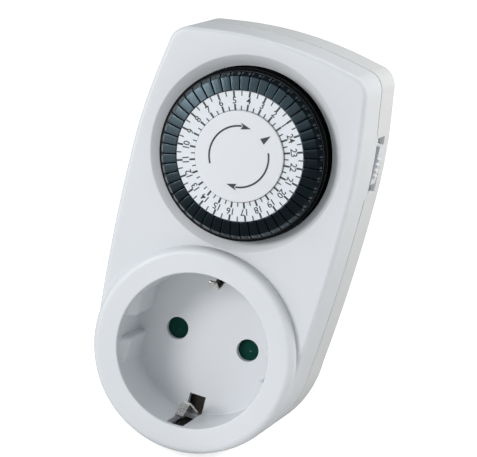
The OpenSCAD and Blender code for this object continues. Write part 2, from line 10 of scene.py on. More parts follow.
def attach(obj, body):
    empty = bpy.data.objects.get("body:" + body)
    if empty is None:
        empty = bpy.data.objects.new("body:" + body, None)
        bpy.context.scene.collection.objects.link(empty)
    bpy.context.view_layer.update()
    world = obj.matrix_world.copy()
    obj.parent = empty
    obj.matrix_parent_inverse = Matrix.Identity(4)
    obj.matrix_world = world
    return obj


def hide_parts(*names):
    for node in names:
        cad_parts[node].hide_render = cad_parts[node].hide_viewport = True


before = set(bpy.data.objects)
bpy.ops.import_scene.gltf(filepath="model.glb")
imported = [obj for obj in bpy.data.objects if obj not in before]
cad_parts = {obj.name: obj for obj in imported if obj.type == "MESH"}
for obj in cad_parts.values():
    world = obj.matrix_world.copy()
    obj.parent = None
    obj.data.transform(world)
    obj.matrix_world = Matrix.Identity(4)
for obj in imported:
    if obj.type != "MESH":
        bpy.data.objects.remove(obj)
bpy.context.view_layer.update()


# ---- Rear shell ------------------------------------------------------------------
# A white ABS moulding with the plug's round body on its back. It holds the pins, the
# earth strip and the four screw bosses, and a lip on its front edge locates the front
# shell. All shapes are drawn in millimetres lying on the rear face: x right, y up, z forward.
half_w = 28.5                       # half the width where the bowed sides are widest
bow_y = 45.0                        # the height at which they are
side_r_low = 455.0                  # radius of the sides below that height
side_r_up = 130.0                   # and above it
top_r = 95.0
corner_r = 5.2
corner = Vector((20.68, 71.58))     # centre of the upper right corner's round
edge_round = 1.2
parting = 14.5                      # where the two shells meet
slit = 1.2                          # depth of the groove that they leave there
wall = 2.0
pillars = [(23.0, 24.0), (-23.0, 24.0), (19.8, 68.4), (-19.8, 68.4)]
boss_front = 7.98
plug_r = 18.5
plug_len = 17.5
plug_floor = -15.5
plug_hollow_r = 16.5
pin_x = 9.5
pin_places = [(-pin_x, 0), (pin_x, 0)]
quarters = (0, 90, 180, 270)
window_y = 53.7                     # middle of the slide switch's window
window_half = 7.1
strip_x = 23.1                      # inner edge of what lies along the right wall
white_abs = (226, 228, 231)
warm_white_abs = (224, 225, 225)


def polar(radius, degrees, centre=(0, 0)):
    angle = math.radians(degrees)
    return centre[0] + radius * math.cos(angle), centre[1] + radius * math.sin(angle)


def side_x(y):
    """Half the housing's width at height y."""
    return half_w - (y - bow_y) ** 2 / (2 * (side_r_up if y > bow_y else side_r_low))


def side_strip(middle, reach, inset, z):
    """Flat outline at height z that follows the right side, set in from it by inset."""
    low, high = middle - reach, middle + reach
    heights = [low + (high - low) * i / 6 for i in range(7)]
    edge = [(side_x(y) - inset, y, z) for y in heights]
    return [(strip_x, low, z)] + edge + [(strip_x, high, z)]


def outline(inset):
    """Points round the housing, seen from the front and drawn in by inset."""
    crown = corner.y + corner_r - inset
    right = [(side_x(y) - inset, y) for y in range(4, 69, 4)]
    right += [polar(corner_r - inset, 11 + 6.7 * i, corner) for i in range(11)]
    right += [(x, crown + (corner.x ** 2 - x * x) / (2 * top_r)) for x in range(18, 0, -3)]
    foot = [polar(side_x(0) - inset, a) for a in range(180, 361, 4)]
    middle = [(0, crown + corner.x ** 2 / (2 * top_r))]
    return foot + right + middle + [(-x, y) for x, y in reversed(right)]


def block(levels):
    """Solid with the housing's outline, one ring of it for each (inset, z)."""
    bm = bmesh.new()
    rings = []
    for inset, z in levels:
        points = outline(inset)
        ring = bmesh.ops.create_circle(bm, segments=len(points), radius=1)["verts"]
        for vert, (x, y) in zip(ring, points):
            vert.co = (x, y, z)
        rings.append((ring, list({e for v in ring for e in v.link_edges})))
    for lower, upper in zip(rings, rings[1:]):
        bmesh.ops.bridge_loops(bm, edges=lower[1] + upper[1])
    bm.faces.new(rings[0][0])
    bm.faces.new(rings[-1][0])
    bmesh.ops.recalc_face_normals(bm, faces=bm.faces)
    return bm


def spun(profile, x=0.0, y=0.0, steps=96):
    """Solid turned about an axis along z through (x, y), from (radius, z) points."""
    bm = bmesh.new()
    verts = [bm.verts.new((x + r, y, z)) for r, z in profile]
    ring = verts if profile[0][0] == 0 else verts + verts[:1]
    edges = [bm.edges.new(pair) for pair in zip(ring, ring[1:])]
    bmesh.ops.spin(bm, geom=verts + edges, cent=(x, y, 0), axis=(0, 0, 1),
                   angle=math.tau, steps=steps, use_merge=True)
    bmesh.ops.remove_doubles(bm, verts=bm.verts, dist=1e-4)
    bmesh.ops.recalc_face_normals(bm, faces=bm.faces)
    return bm


def drum(radius, low, high):
    """The (radius, z) points of a plain cylinder."""
    return [(0, low), (radius, low), (radius, high), (0, high)]


def box(low, high):
    bm = bmesh.new()
    size = [b - a for a, b in zip(low, high)]
    middle = [(a + b) / 2 for a, b in zip(low, high)]
    bmesh.ops.create_cube(bm, size=1, matrix=Matrix.Translation(middle)
                          @ Matrix.Diagonal((*size, 1)))
    return bm


def plate(points, depth, axis):
    """Flat outline given as 3-D points, thickened by depth along axis."""
    bm = bmesh.new()
    face = bm.faces.new([bm.verts.new(p) for p in points])
    made = bmesh.ops.extrude_face_region(bm, geom=[face])["geom"]
    moved = [g for g in made if isinstance(g, bmesh.types.BMVert)]
    bmesh.ops.translate(bm, verts=moved, vec=Vector(axis) * depth)
    bmesh.ops.recalc_face_normals(bm, faces=bm.faces)
    return bm


def turned(bm, degrees, x=0.0, y=0.0):
    bmesh.ops.rotate(bm, verts=bm.verts, cent=(x, y, 0),
                     matrix=Matrix.Rotation(math.radians(degrees), 3, "Z"))
    return bm


def together(parts):
    """Several loose solids in one mesh."""
    bm = bmesh.new()
    for part in parts:
        mesh = bpy.data.meshes.new("part")
        part.to_mesh(mesh)
        part.free()
        bm.from_mesh(mesh)
        bpy.data.meshes.remove(mesh)
    return bm


def spun_at(places, profile, steps=48):
    """The same turned solid at each (x, y) of places."""
    return together([spun(profile, x, y, steps) for x, y in places])


def boxes_at(angles, low, high, y=0.0):
    """The same box at each of the angles round the axis through (0, y)."""
    return together([turned(box(low, high), a, 0, y) for a in angles])


def solid(bm):
    mesh = bpy.data.meshes.new("solid")
    bm.to_mesh(mesh)
    bm.free()
    piece = bpy.data.objects.new("solid", mesh)
    bpy.context.scene.collection.objects.link(piece)
    return piece


def loose(piece):
    """Takes a piece's mesh out of the scene again, as a tool for another piece."""
    bm = bmesh.new()
    bm.from_mesh(piece.data)
    bpy.data.objects.remove(piece)
    return bm


def machined(piece, operation, bm):
    """Adds bm (UNION), cuts it away (DIFFERENCE) or keeps what both hold (INTERSECT)."""
    tool = solid(bm)
    cut = piece.modifiers.new("cut", "BOOLEAN")
    cut.object = tool
    cut.operation = operation
    cut.solver = "EXACT"
    graph = bpy.context.evaluated_depsgraph_get()
    result = bpy.data.meshes.new_from_object(piece.evaluated_get(graph))
    piece.modifiers.clear()
    old = piece.data
    piece.data = result
    bpy.data.meshes.remove(old)
    bpy.data.objects.remove(tool)
    return piece


def eased(bm, width, segments=2, angle=30):
    """Rounds every edge that is sharper than angle."""
    bmesh.ops.recalc_face_normals(bm, faces=bm.faces)
    sharp = [e for e in bm.edges
             if len(e.link_faces) == 2 and e.calc_face_angle() > math.radians(angle)]
    bmesh.ops.bevel(bm, geom=sharp, offset=width, offset_type="OFFSET", affect="EDGES",
                    segments=segments, profile=0.5, material=-1, clamp_overlap=True)
    return bm


def rounding(radius, steps=5):
    """(inset, height) points of a quarter round, from the flat to the side."""
    turns = [math.pi / 2 * i / steps for i in range(steps + 1)]
    return [(radius * (1 - math.sin(t)), radius * (1 - math.cos(t))) for t in turns]


def dressed(piece, name, body, material, nodes=(), crease=32):
    """Stands the finished mesh up in the frame, shades it and hands it to its body."""
    piece.name = name
    bm = bmesh.new()
    bm.from_mesh(piece.data)
    bmesh.ops.remove_doubles(bm, verts=bm.verts, dist=2e-4)
    bmesh.ops.dissolve_degenerate(bm, edges=bm.edges, dist=1e-4)
    bm.transform(Matrix.Scale(0.001, 4) @ Matrix.Rotation(math.radians(90), 4, "X"))
    bm.to_mesh(piece.data)
    bm.free()
    piece.data.name = name
    piece.data.materials.clear()
    piece.data.materials.append(material)
    piece.data.shade_smooth()
    piece.data.set_sharp_from_angle(angle=math.radians(crease))
    flat = piece.modifiers.new("flats", "WEIGHTED_NORMAL")
    flat.keep_sharp = True
    flat.weight = 80
    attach(piece, body)
    if nodes:
        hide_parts(*nodes)
    return piece


def linear(rgb):
    """A display colour of 0 to 255 as the renderer's linear one."""
    channels = [c / 255 for c in rgb]
    return (*[c / 12.92 if c <= 0.04045 else ((c + 0.055) / 1.055) ** 2.4
              for c in channels], 1)


def put(tree, kind, inputs=None, **settings):
    """Adds a shader node. An input is a value, or the socket that feeds it."""
    made = tree.nodes.new(kind)
    for key, value in settings.items():
        setattr(made, key, value)
    for key, value in (inputs or {}).items():
        if isinstance(value, bpy.types.NodeSocket):
            tree.links.new(value, made.inputs[key])
        else:
            made.inputs[key].default_value = value
    return made


def noise(tree, vector, scale, detail=2.0, roughness=0.5):
    return put(tree, "ShaderNodeTexNoise", {
        "Vector": vector, "Scale": scale, "Detail": detail, "Roughness": roughness}).outputs["Fac"]


def ramp(tree, value, start, end, low=0.0, high=1.0, kind="LINEAR"):
    """Value's way from start to end, as one from low to high."""
    return put(tree, "ShaderNodeMapRange", {
        "Value": value, "From Min": start, "From Max": end, "To Min": low, "To Max": high},
        interpolation_type=kind).outputs["Result"]


def calc(tree, operation, *values):
    return put(tree, "ShaderNodeMath", dict(enumerate(values)),
               operation=operation).outputs["Value"]


def dot(tree, first, second):
    return put(tree, "ShaderNodeVectorMath", {0: first, 1: second},
               operation="DOT_PRODUCT").outputs["Value"]


def mixed(tree, factor, first, second):
    """A number between first and second."""
    return put(tree, "ShaderNodeMix", {0: factor, 2: first, 3: second}).outputs[0]


def tinted(tree, factor, first, second, way="MIX"):
    """A colour between first and second."""
    return put(tree, "ShaderNodeMix", {0: factor, 6: first, 7: second},
               data_type="RGBA", blend_type=way).outputs[2]


def finish_group(name, colours, numbers):
    """Empty node group that turns a place, colours and numbers into a surface's finish."""
    tree = bpy.data.node_groups.new(name, "ShaderNodeTree")
    sockets = tree.interface
    sockets.new_socket("Vector", in_out="INPUT", socket_type="NodeSocketVector")
    for kind, wanted in (("NodeSocketColor", colours), ("NodeSocketFloat", numbers)):
        for label in wanted:
            sockets.new_socket(label, in_out="INPUT", socket_type=kind)
    for label, kind in (("Colour", "NodeSocketColor"), ("Roughness", "NodeSocketFloat"),
                        ("Height", "NodeSocketFloat")):
        sockets.new_socket(label, in_out="OUTPUT", socket_type=kind)
    given = tree.nodes.new("NodeGroupInput").outputs
    return tree, given, tree.nodes.new("NodeGroupOutput").inputs


def surfaced(name, group, values, strength, depth):
    """Material whose colour, roughness and bump come from a finish group."""
    material = bpy.data.materials.new(name)
    material.use_nodes = True
    tree = material.node_tree
    shader = tree.nodes["Principled BSDF"]
    where = put(tree, "ShaderNodeTexCoord")
    finish = put(tree, "ShaderNodeGroup", {"Vector": where.outputs["Object"], **values},
                 node_tree=group)
    bump = put(tree, "ShaderNodeBump", {"Height": finish.outputs["Height"],
                                        "Strength": strength, "Distance": depth})
    tree.links.new(finish.outputs["Colour"], shader.inputs["Base Color"])
    tree.links.new(finish.outputs["Roughness"], shader.inputs["Roughness"])
    tree.links.new(bump.outputs["Normal"], shader.inputs["Normal"])
    return material, shader


def moulded_finish():
    """Spark-eroded moulding: fine grain, slow drift of tone, finger marks, and lighter edges:
    rubbed wear, and on the dial's rim a painted highlight.
    """
    tree, given, out = finish_group("moulded_finish", ("Colour", "RubbedAndGlint"),
                                    ("Grain", "Roughness", "WearAndGlint"))
    grain = noise(tree, given["Vector"], given["Grain"])
    drift = noise(tree, given["Vector"], 31.0)
    marks = noise(tree, given["Vector"], 150.0, 5.0, 0.65)
    tone = ramp(tree, drift, 0.35, 0.65, 0.0, 0.55)
    smudge = ramp(tree, marks, 0.5, 0.7)
    soft = put(tree, "ShaderNodeBevel", {"Radius": 0.00035}, samples=4)
    surface = put(tree, "ShaderNodeNewGeometry")
    bent = dot(tree, soft.outputs["Normal"], surface.outputs["Normal"])
    # Lighter colour on sharp edges: rubbed wear, and where the amount is high, as on the dial's
    # rim, a painted highlight line.
    edge = ramp(tree, bent, 0.995, 0.88)
    worn_and_glinting = calc(tree, "MULTIPLY", edge, given["WearAndGlint"])
    patchy = calc(tree, "MULTIPLY", worn_and_glinting, marks)
    dull = tinted(tree, tone, given["Colour"], (0.955, 0.958, 0.962, 1), "MULTIPLY")
    tree.links.new(tinted(tree, patchy, dull, given["RubbedAndGlint"]), out["Colour"])
    tree.links.new(calc(tree, "MULTIPLY_ADD", smudge, 0.07, given["Roughness"]),
                   out["Roughness"])
    tree.links.new(grain, out["Height"])
    return tree


moulded_group = moulded_finish()


def moulded(name, rgb, rubbed_and_glint=None, roughness=0.4, grain=2600.0, depth=0.00002, wear_and_glint=0.5,
            specular=0.5, sheen=(1, 1, 1)):
    """Material of a moulded plastic piece."""
    material, shader = surfaced(name, moulded_group, {
        "Colour": linear(rgb), "RubbedAndGlint": linear(rubbed_and_glint or [min(255, c * 1.06) for c in rgb]),
        "Grain": grain, "Roughness": roughness, "WearAndGlint": wear_and_glint}, 0.35, depth)
    shader.inputs["Specular IOR Level"].default_value = specular
    shader.inputs["Specular Tint"].default_value = (*sheen, 1)
    return material


case_white = moulded("case_white", white_abs)
case_back = moulded("case_back", warm_white_abs)

# The shell itself, its locating lip and the screw bosses.
rear = solid(block(rounding(edge_round) + [
    (0, parting - 0.38), (slit, parting - 0.34), (slit, parting - 0.02)]))
machined(rear, "DIFFERENCE", block([(wall, wall), (wall, parting + 1)]))
lip = solid(block([(1.8, 13.0), (1.8, 14.45), (2.2, 14.5), (2.2, 15.7)]))
machined(lip, "DIFFERENCE", block([(3.0, 12.0), (3.0, 17.0)]))
machined(lip, "DIFFERENCE", spun_at(pillars, drum(3.1, 8, 20), 40))
machined(rear, "UNION", loose(lip))
machined(rear, "UNION", spun_at(pillars, drum(4.2, 0.5, boss_front)))

# The hollow plug body, then the screw holes and the window for the slide switch.
foot_round = [(plug_r - inset, -plug_len + z) for inset, z in rounding(edge_round)]
machined(rear, "UNION", spun([(0, -plug_len)] + foot_round + [(plug_r, 1.5), (0, 1.5)],
                             steps=128))
machined(rear, "DIFFERENCE", spun(drum(plug_hollow_r, plug_floor, 3), steps=128))
machined(rear, "DIFFERENCE", spun_at(pillars, [
    (0, -1), (3.1, -1), (3.1, 0), (2.8, 0.3), (2.8, 3.5), (1.5, 3.5), (1.5, 9), (0, 9)]))
machined(rear, "DIFFERENCE", box((20.5, window_y - window_half, 5.9),
                                 (30.5, window_y + window_half, 16.5)))
machined(rear, "DIFFERENCE", plate(side_strip(window_y, 12.0, 0.9, 6.0), 5.0, (0, 0, 1)))
notch = [(24, 44.9, 14.6), (24, 46.1, 13.0), (24, 61.3, 13.0), (24, 62.5, 14.6)]
machined(rear, "DIFFERENCE", plate(notch, 6, (1, 0, 0)))

# The plug's four side grooves, the pin holes, and the bosses behind both.
machined(rear, "DIFFERENCE", boxes_at(quarters, (16.1, -2.6, -18.5), (20.1, 2.6, -0.4)))
machined(rear, "DIFFERENCE", spun_at(pin_places, [
    (0, -18.5), (3.0, -18.5), (3.0, -17.5), (2.75, -17.25), (2.75, -14.5), (0, -14.5)]))
machined(rear, "UNION", boxes_at(quarters, (14.9, -3.6, plug_floor - 0.01), (16.3, 3.6, -2.4)))
machined(rear, "UNION", together(
    [box((pin_x - 2.6, y, plug_floor - 0.01), (pin_x + 2.6, y + 1.4, -9.1))
     for y in (-5.2, 3.8)]))
dressed(rear, "rear_cover", "housing", case_back, ["rear_shell"])


# ---- Plug pins and earth strip -------------------------------------------------------
# Two nickel-plated brass pins, turned with a flange that seats on the plug's floor, and a
# bent strip whose arms lie in the plug's earth grooves and join the socket's earth.
pin_r = 2.4
nickel_grey = (196, 193, 186)


def metal_finish():
    """Plated or bare sheet metal: drawn lines along the piece, dull spots, fine scratches."""
    tree, given, out = finish_group("metal_finish", ("Colour", "Tarnish"), ("Roughness",))
    stretch = put(tree, "ShaderNodeMapping", {"Vector": given["Vector"],
                                              "Scale": (1.0, 0.08, 1.0)})
    lines = noise(tree, stretch.outputs["Vector"], 5200.0, 3.0)
    spots = noise(tree, given["Vector"], 420.0, 4.0)
    dirt = ramp(tree, spots, 0.5, 0.75, 0.0, 0.6)
    tree.links.new(tinted(tree, dirt, given["Colour"], given["Tarnish"]), out["Colour"])
    tree.links.new(calc(tree, "MULTIPLY_ADD", lines, 0.22, given["Roughness"]),
                   out["Roughness"])
    tree.links.new(lines, out["Height"])
    return tree


metal_group = metal_finish()


def metal(name, rgb, tarnish=None, roughness=0.25):
    """Material of a metal piece."""
    material, shader = surfaced(name, metal_group, {
        "Colour": linear(rgb), "Tarnish": linear(tarnish or [c * 0.72 for c in rgb]),
        "Roughness": roughness}, 0.25, 0.00001)
    shader.inputs["Metallic"].default_value = 1.0
    return material


nickel = metal("nickel", nickel_grey)
tip = [(0, -36.5), (0.9, -36.45), (1.6, -36.25), (2.1, -35.9), (2.34, -35.5), (pin_r, -35.1)]
flange = [(pin_r, -17.9), (2.7, -17.6), (2.7, plug_floor), (3.2, plug_floor), (3.4, -15.3),
          (3.4, -14.7), (3.2, -14.5), (1.5, -14.5)]
for which, x, stub in (("left", -pin_x, -8.4), ("right", pin_x, -11.2)):
    end = [(1.5, stub + 0.2), (1.3, stub), (0, stub)]
    dressed(solid(spun(tip + flange + end, x, 0, 64)), f"pin_{which}", "housing",
            nickel, [f"plug_pin_{which}"])

arm = plug_r - 0.3
bend = [(-arm, -16.0), (-arm + 0.8, -16.0), (-arm + 0.8, -2.4), (-arm + 1.6, -1.6),
        (arm - 1.6, -1.6), (arm - 0.8, -2.4), (arm - 0.8, -16.0), (arm, -16.0), (arm, -1.9),
        (arm - 1.1, -0.8), (-arm + 1.1, -0.8), (-arm, -1.9)]
strip = plate([(-2.3, y, z) for y, z in bend], 4.6, (1, 0, 0))
dressed(solid(eased(strip, 0.15)), "plug_earth", "housing", nickel,
        ["plug_earth_strip"])


# ---- Front shell ---------------------------------------------------------------------
# A white ABS moulding: flat face with a small round along its edge, the socket's collar and
# cup, the dished opening for the dial, and four pillars that take the screws from behind.
face = 29.2
collar_r = 26.0
collar_front = 32.0
dial_y = 50.6
dial_seat = 28.2                    # front of the thick ring round the dial opening
dial_hole_r = 21.5
cup_r = 21.25
cup_back = 12.7
recess_r = 19.45
recess_floor = 14.5
pin_hole_r = 2.85
slot_half = 2.15                    # half the width of the slots for the earth clips

front_round = [(inset, face - z) for inset, z in reversed(rounding(edge_round))]
front = solid(block([(slit, parting + 0.02), (slit, parting + 0.26), (0, parting + 0.3)]
                    + front_round))
machined(front, "DIFFERENCE", block([(wall, parting - 1), (wall, face - wall)]))
machined(front, "UNION", spun_at(pillars, [
    (0, 8), (2.8, 8), (2.8, 16.5), (3.3, 16.5), (3.3, dial_seat), (0, dial_seat)]))
machined(front, "UNION", spun(drum(25.2, 25.7, dial_seat), 0, dial_y, 128))
machined(front, "UNION", spun(drum(cup_r, cup_back, 30), steps=128))
machined(front, "UNION", spun([
    (0, 27.9), (collar_r, 27.9), (collar_r, 29.9), (25.92, 30.5), (25.74, 31.0),
    (25.46, 31.42), (25.1, 31.72), (24.65, 31.92), (24.1, collar_front), (0, collar_front)],
    steps=128))
machined(front, "DIFFERENCE", spun([
    (0, 20), (dial_hole_r, 20), (dial_hole_r, 27.5), (24.0, 29.0), (24.2, 29.12),
    (24.45, 29.21), (24.45, 31), (0, 31)], 0, dial_y, 144))
machined(front, "DIFFERENCE", spun([
    (0, recess_floor), (18.9, recess_floor), (19.25, 14.6), (19.4, 14.95), (recess_r, 31.6),
    (19.52, 31.8), (19.66, 31.95), (19.85, 32.02), (19.85, 33), (0, 33)], steps=128))

# Two pads on each side of the recess guide the plug; their noses slope back to the wall.
nose = [(17.0, 13.6), (17.0, 26.5), (17.3, 27.6), (19.35, 30.5), (21.5, 30.5), (21.5, 13.6)]
pads = solid(together(
    [eased(plate([(side * x, y, z) for x, z in nose], 7, (0, 1, 0)), 0.9, 4)
     for side in (-1, 1) for y in (-9.9, 2.9)]))
machined(pads, "INTERSECT", spun(drum(20.3, 14, 31)))
machined(front, "UNION", loose(pads))

# Pin holes, the earth clips' slots, the shutter's rails and the screws' pilot holes.
machined(front, "DIFFERENCE", spun_at(pin_places, [
    (0, 11), (pin_hole_r, 11), (pin_hole_r, 14.36), (2.9, 14.47), (2.98, 14.52), (2.98, 16),
    (0, 16)], 64))
machined(front, "DIFFERENCE", boxes_at((0, 180), (-slot_half, 14.9, 11.7),
                                       (slot_half, 19.92, 14.7)))
machined(front, "DIFFERENCE", boxes_at((0, 180), (-slot_half, 18.45, recess_floor),
                                       (slot_half, 23.25, 30.5)))
machined(front, "UNION", together(
    [box((side * 14.7 - 0.6, -6, 11.5), (side * 14.7 + 0.6, 10, cup_back + 0.02))
     for side in (-1, 1)]))
machined(front, "DIFFERENCE", spun_at(pillars, drum(1.3, 7.9, 19), 32))

# The tongue that fills the rear shell's notch above the slide switch.
tongue = solid(block([(0.05, 13.08), (0, 13.3), (0, 14.9)]))
machined(tongue, "INTERSECT", plate([
    (24, 45.15, 14.9), (24, 45.15, 14.6), (24, 46.3, 13.05), (24, 61.1, 13.05),
    (24, 62.25, 14.6), (24, 62.25, 14.9)], 6, (1, 0, 0)))
machined(tongue, "DIFFERENCE", block([(1.7, 12), (1.7, 16)]))
machined(front, "UNION", loose(tongue))
dressed(front, "front_cover", "housing", case_white, ["front_shell"])


# ---- Case screws ---------------------------------------------------------------------
# Four pan-head steel screws with a cross recess, sunk in the rear shell's bosses.
# Their threads bite in the front shell's pillars.
steel_grey = (168, 170, 173)

steel = metal("steel", steel_grey)
screws = solid(spun_at(pillars, [
    (0, 1.0), (1.4, 1.05), (2.1, 1.3), (2.45, 1.8), (2.5, 3.4), (1.25, 3.4), (1.25, 14.4),
    (0.6, 15.0), (0, 15.0)], 40))
for angle in (25, 115):
    machined(screws, "DIFFERENCE", together(
        [turned(box((x - 1.4, y - 0.3, 0.5), (x + 1.4, y + 0.3, 2.0)), angle, x, y)
         for x, y in pillars]))
dressed(screws, "case_screws", "housing", steel, ["housing_screws"])


# ---- Socket's earth clips -------------------------------------------------------------
# Two bright springs come up through the slots, lean in to a crest that presses on the plug,
# and turn back towards the wall. A bar joins them behind the socket's floor and stands up in
# the slots behind them; its dark colour is painted shade in the slots.
clip_w = 3.3
crest_narrowing = 0.6
crest = (17.6, 24.2)                # centre of the crest's bend
bar_r = 22.1
bar_w = 4.0

bright_nickel = metal("bright_nickel", (224, 221, 213), roughness=0.16)
shade_dark_nickel = metal("shade_dark_nickel", (74, 71, 66), roughness=0.5)
outside = [polar(2.7, 201 - 10.2 * i, crest) for i in range(6)]
inside = [polar(2.1, 150 + 10.2 * i, crest) for i in range(6)]
climb = [(19.3, 10.9), (19.3, 14.6)] + outside + [(17.3, 28.95), (17.8, 28.6)]
climb += inside + [(19.9, 14.9), (19.9, 10.9)]
springs = []
for angle in (0, 180):
    spring = plate([(-clip_w / 2, y, z) for y, z in climb], clip_w, (1, 0, 0))
    for vert in spring.verts:
        if vert.co.z > 20:
            vert.co.x *= crest_narrowing
    springs.append(turned(eased(spring, 0.12, 2, 50), angle))
dressed(solid(together(springs)), "earth_clips", "housing", bright_nickel,
        ["socket_earth_strip"])
# The bar's upright legs fill the backs of the slots; their dark nickel is painted shade.
rise = [(-bar_r, 10.9), (bar_r, 10.9), (bar_r, 29.5), (21.5, 29.5), (21.5, 11.7),
        (-21.5, 11.7), (-21.5, 29.5), (-bar_r, 29.5)]
bar = eased(plate([(-bar_w / 2, y, z) for y, z in rise], bar_w, (1, 0, 0)), 0.1)
dressed(solid(bar), "earth_bar", "housing", shade_dark_nickel)


# ---- Shutter --------------------------------------------------------------------------
# A dark green sprung slider of nylon behind the socket's floor: its two discs close both
# pin holes until a plug's pins push them aside together.
bottle_green = (7, 60, 50)

green_nylon = moulded("green_nylon", bottle_green, rubbed_and_glint=(30, 104, 86), roughness=0.25,
                      grain=1800.0, specular=0.12)
shutter = solid(spun_at(pin_places, [
    (0, 11.9), (3.3, 11.9), (3.3, 12.5), (3.1, 12.6), (0.9, 12.6), (0.6, 12.45), (0, 12.4)]))
machined(shutter, "UNION", eased(box((-pin_x, -2, 11.92), (pin_x, 2, 12.58)), 0.1))
dressed(shutter, "shutter_slider", "shutter", green_nylon, ["shutter"])


# ---- Inside: movement, motor, contacts and switch ---------------------------------------
# The plate, gears, motor, lever and contacts that the shells hide keep their drawn shapes
# and take the finish of their own stock: steel, brass, acetal, copper, ferrite and laminate.
brass = metal("brass", (201, 166, 98), tarnish=(140, 104, 58))
copper = metal("copper", (168, 96, 58), tarnish=(96, 52, 34), roughness=0.35)
acetal = moulded("acetal", (236, 232, 222), roughness=0.35, grain=3200.0)
ferrite = moulded("ferrite", (46, 46, 49), roughness=0.55, grain=900.0, depth=0.00004)
laminate = moulded("laminate", (132, 84, 52), roughness=0.5, grain=700.0, depth=0.00003)
blue_pvc = moulded("blue_pvc", (52, 92, 160), roughness=0.38, grain=1500.0)
orange_nylon = moulded("orange_nylon", (222, 124, 52), roughness=0.4)
stock = {
    steel: ["dial_post", "gear_pins", "clutch_spring", "rotor_shaft", "motor_can",
            "motor_poles", "motor_screws", "lever_pin"],
    brass: ["contact_left", "contact_right", "clutch_wheel", "moving_contact",
            "fixed_contact", "load_strap"],
    acetal: ["movement_plate", "drive_pinion", "idler_gear_1", "idler_gear_2",
             "motor_bobbin"],
    copper: ["motor_winding"],
    ferrite: ["rotor_magnet"],
    laminate: ["switch_base"],
    orange_nylon: ["follower_lever"],
    blue_pvc: ["motor_leads"],
}
for material, nodes in stock.items():
    for node in nodes:
        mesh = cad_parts[node].data
        mesh.materials.clear()
        mesh.materials.append(material)


# ---- Dial wheel -------------------------------------------------------------------------
# A dark grey acetal wheel that turns once a day. Its rim and web guide the tabs, and the
# teeth round its back mesh with the drive pinion.
tab_count = 48
tab_pitch = 7.5
tab_phase = -0.4
tooth_count = 72
tooth_pitch = 5.0
hub_r = 4.6
post_r = 2.55
wheel_back = 22.6
web_back = 27.0
web_front = 28.2
ring_seat = 33.1                    # front of the hub, under the printed ring
dial_charcoal = (11, 13, 14)

# The light edge colour at a high amount paints the thin bright highlight along the rim's edges; it
# is partly wear too.
charcoal = moulded("charcoal", dial_charcoal, rubbed_and_glint=(120, 126, 130), roughness=0.45,
                   grain=3000.0, wear_and_glint=0.95, specular=0.06)
rim = [(20.45, web_front), (20.45, 31.95), (20.5, 32.0), (21.2, 31.46), (21.28, 31.28),
       (21.2, 31.0), (20.75, 28.4), (20.75, 26.0), (21.1, 25.6), (21.1, wheel_back),
       (20.35, wheel_back), (20.35, web_back)]
wheel = solid(spun(
    [(post_r, ring_seat), (15.85, ring_seat), (15.85, web_front)] + rim
    + [(14.75, web_back), (14.75, 31.9), (hub_r, 31.9), (hub_r, wheel_back),
       (post_r, wheel_back)], 0, dial_y, 144))
machined(wheel, "DIFFERENCE", boxes_at(
    [tab_phase + tab_pitch * (i + 0.5) for i in range(tab_count)],
    (17.2, dial_y - 0.65, 26), (19.3, dial_y + 0.65, 29), dial_y))
tooth = [(20.7, 0.62), (21.0, 0.58), (21.6, 0.42), (22.17, 0.2)]
tooth += [(r, -half) for r, half in reversed(tooth)]
machined(wheel, "UNION", together(
    [turned(plate([(r, dial_y + half, wheel_back + 0.05) for r, half in tooth], 2.15, (0, 0, 1)),
            i * tooth_pitch, 0, dial_y)
     for i in range(tooth_count)]))
dressed(wheel, "dial_rim", "dial", charcoal, ["dial_wheel"])


# ---- Switching tabs ----------------------------------------------------------------------
# Forty-eight charcoal tabs, one for each half hour, pressed in by hand where the load is to
# be on. Each is a wedge with a bevelled outer edge and a tail through the wheel's web.
tab_width = 6.7                     # degrees of the dial that a tab fills
tab_satin = moulded("tab_satin", (13, 20, 24), rubbed_and_glint=(70, 84, 92), roughness=0.17,
                    grain=2200.0, depth=0.000008, wear_and_glint=0.12, specular=0.75,
                    sheen=(0.62, 0.86, 1.0))
wedge = bmesh.new()
section = [(16.15, 30.6), (20.35, 30.6), (20.35, 32.55), (19.5, 33.85), (16.15, 34.25)]
side_face = wedge.faces.new([wedge.verts.new((r, 0, z)) for r, z in section])
turned(wedge, (tab_pitch - tab_width) / 2)
bmesh.ops.spin(wedge, geom=[side_face, *side_face.edges, *side_face.verts], cent=(0, 0, 0),
               axis=(0, 0, 1), angle=math.radians(tab_width), steps=3)
bmesh.ops.holes_fill(wedge, edges=wedge.edges, sides=0)
tab = solid(eased(wedge, 0.09, 2, 40))
machined(tab, "UNION", turned(box((17.35, -0.55, 25.6), (19.15, 0.55, 31.1)), tab_pitch / 2))
tab = loose(tab)
for pair in range(1, tab_count // 2 + 1):
    two = together([turned(tab.copy(), tab_phase + tab_pitch * i)
                    for i in (2 * pair - 2, 2 * pair - 1)])
    bmesh.ops.translate(two, verts=two.verts, vec=(0, dial_y, 0))
    dressed(solid(two), f"tabs_{pair}", f"tab_pair_{pair}", tab_satin,
            [f"tab_pair_{pair}"])
tab.free()


# ---- Printed ring -------------------------------------------------------------------------
# A white disc fixed to the dial wheel, with the numerals 1 to 24 and a stroke for each half hour
# printed on it in dark grey ink along its outer and its inner edge. A thin dark ring of the
# same ink round the centre cap's foot is a painted shadow of the cap's edge.
ring_front = 34.1
ring_phase = 5.0
first_hour = 22
ink_back = ring_front - 0.01
ink_front = ring_front + 0.03
hour_stroke = (0.46, [(14.5, 15.92), (10.95, 12.75)])       # width, then where it runs
half_stroke = (0.27, [(14.75, 15.92), (10.95, 12.3)])

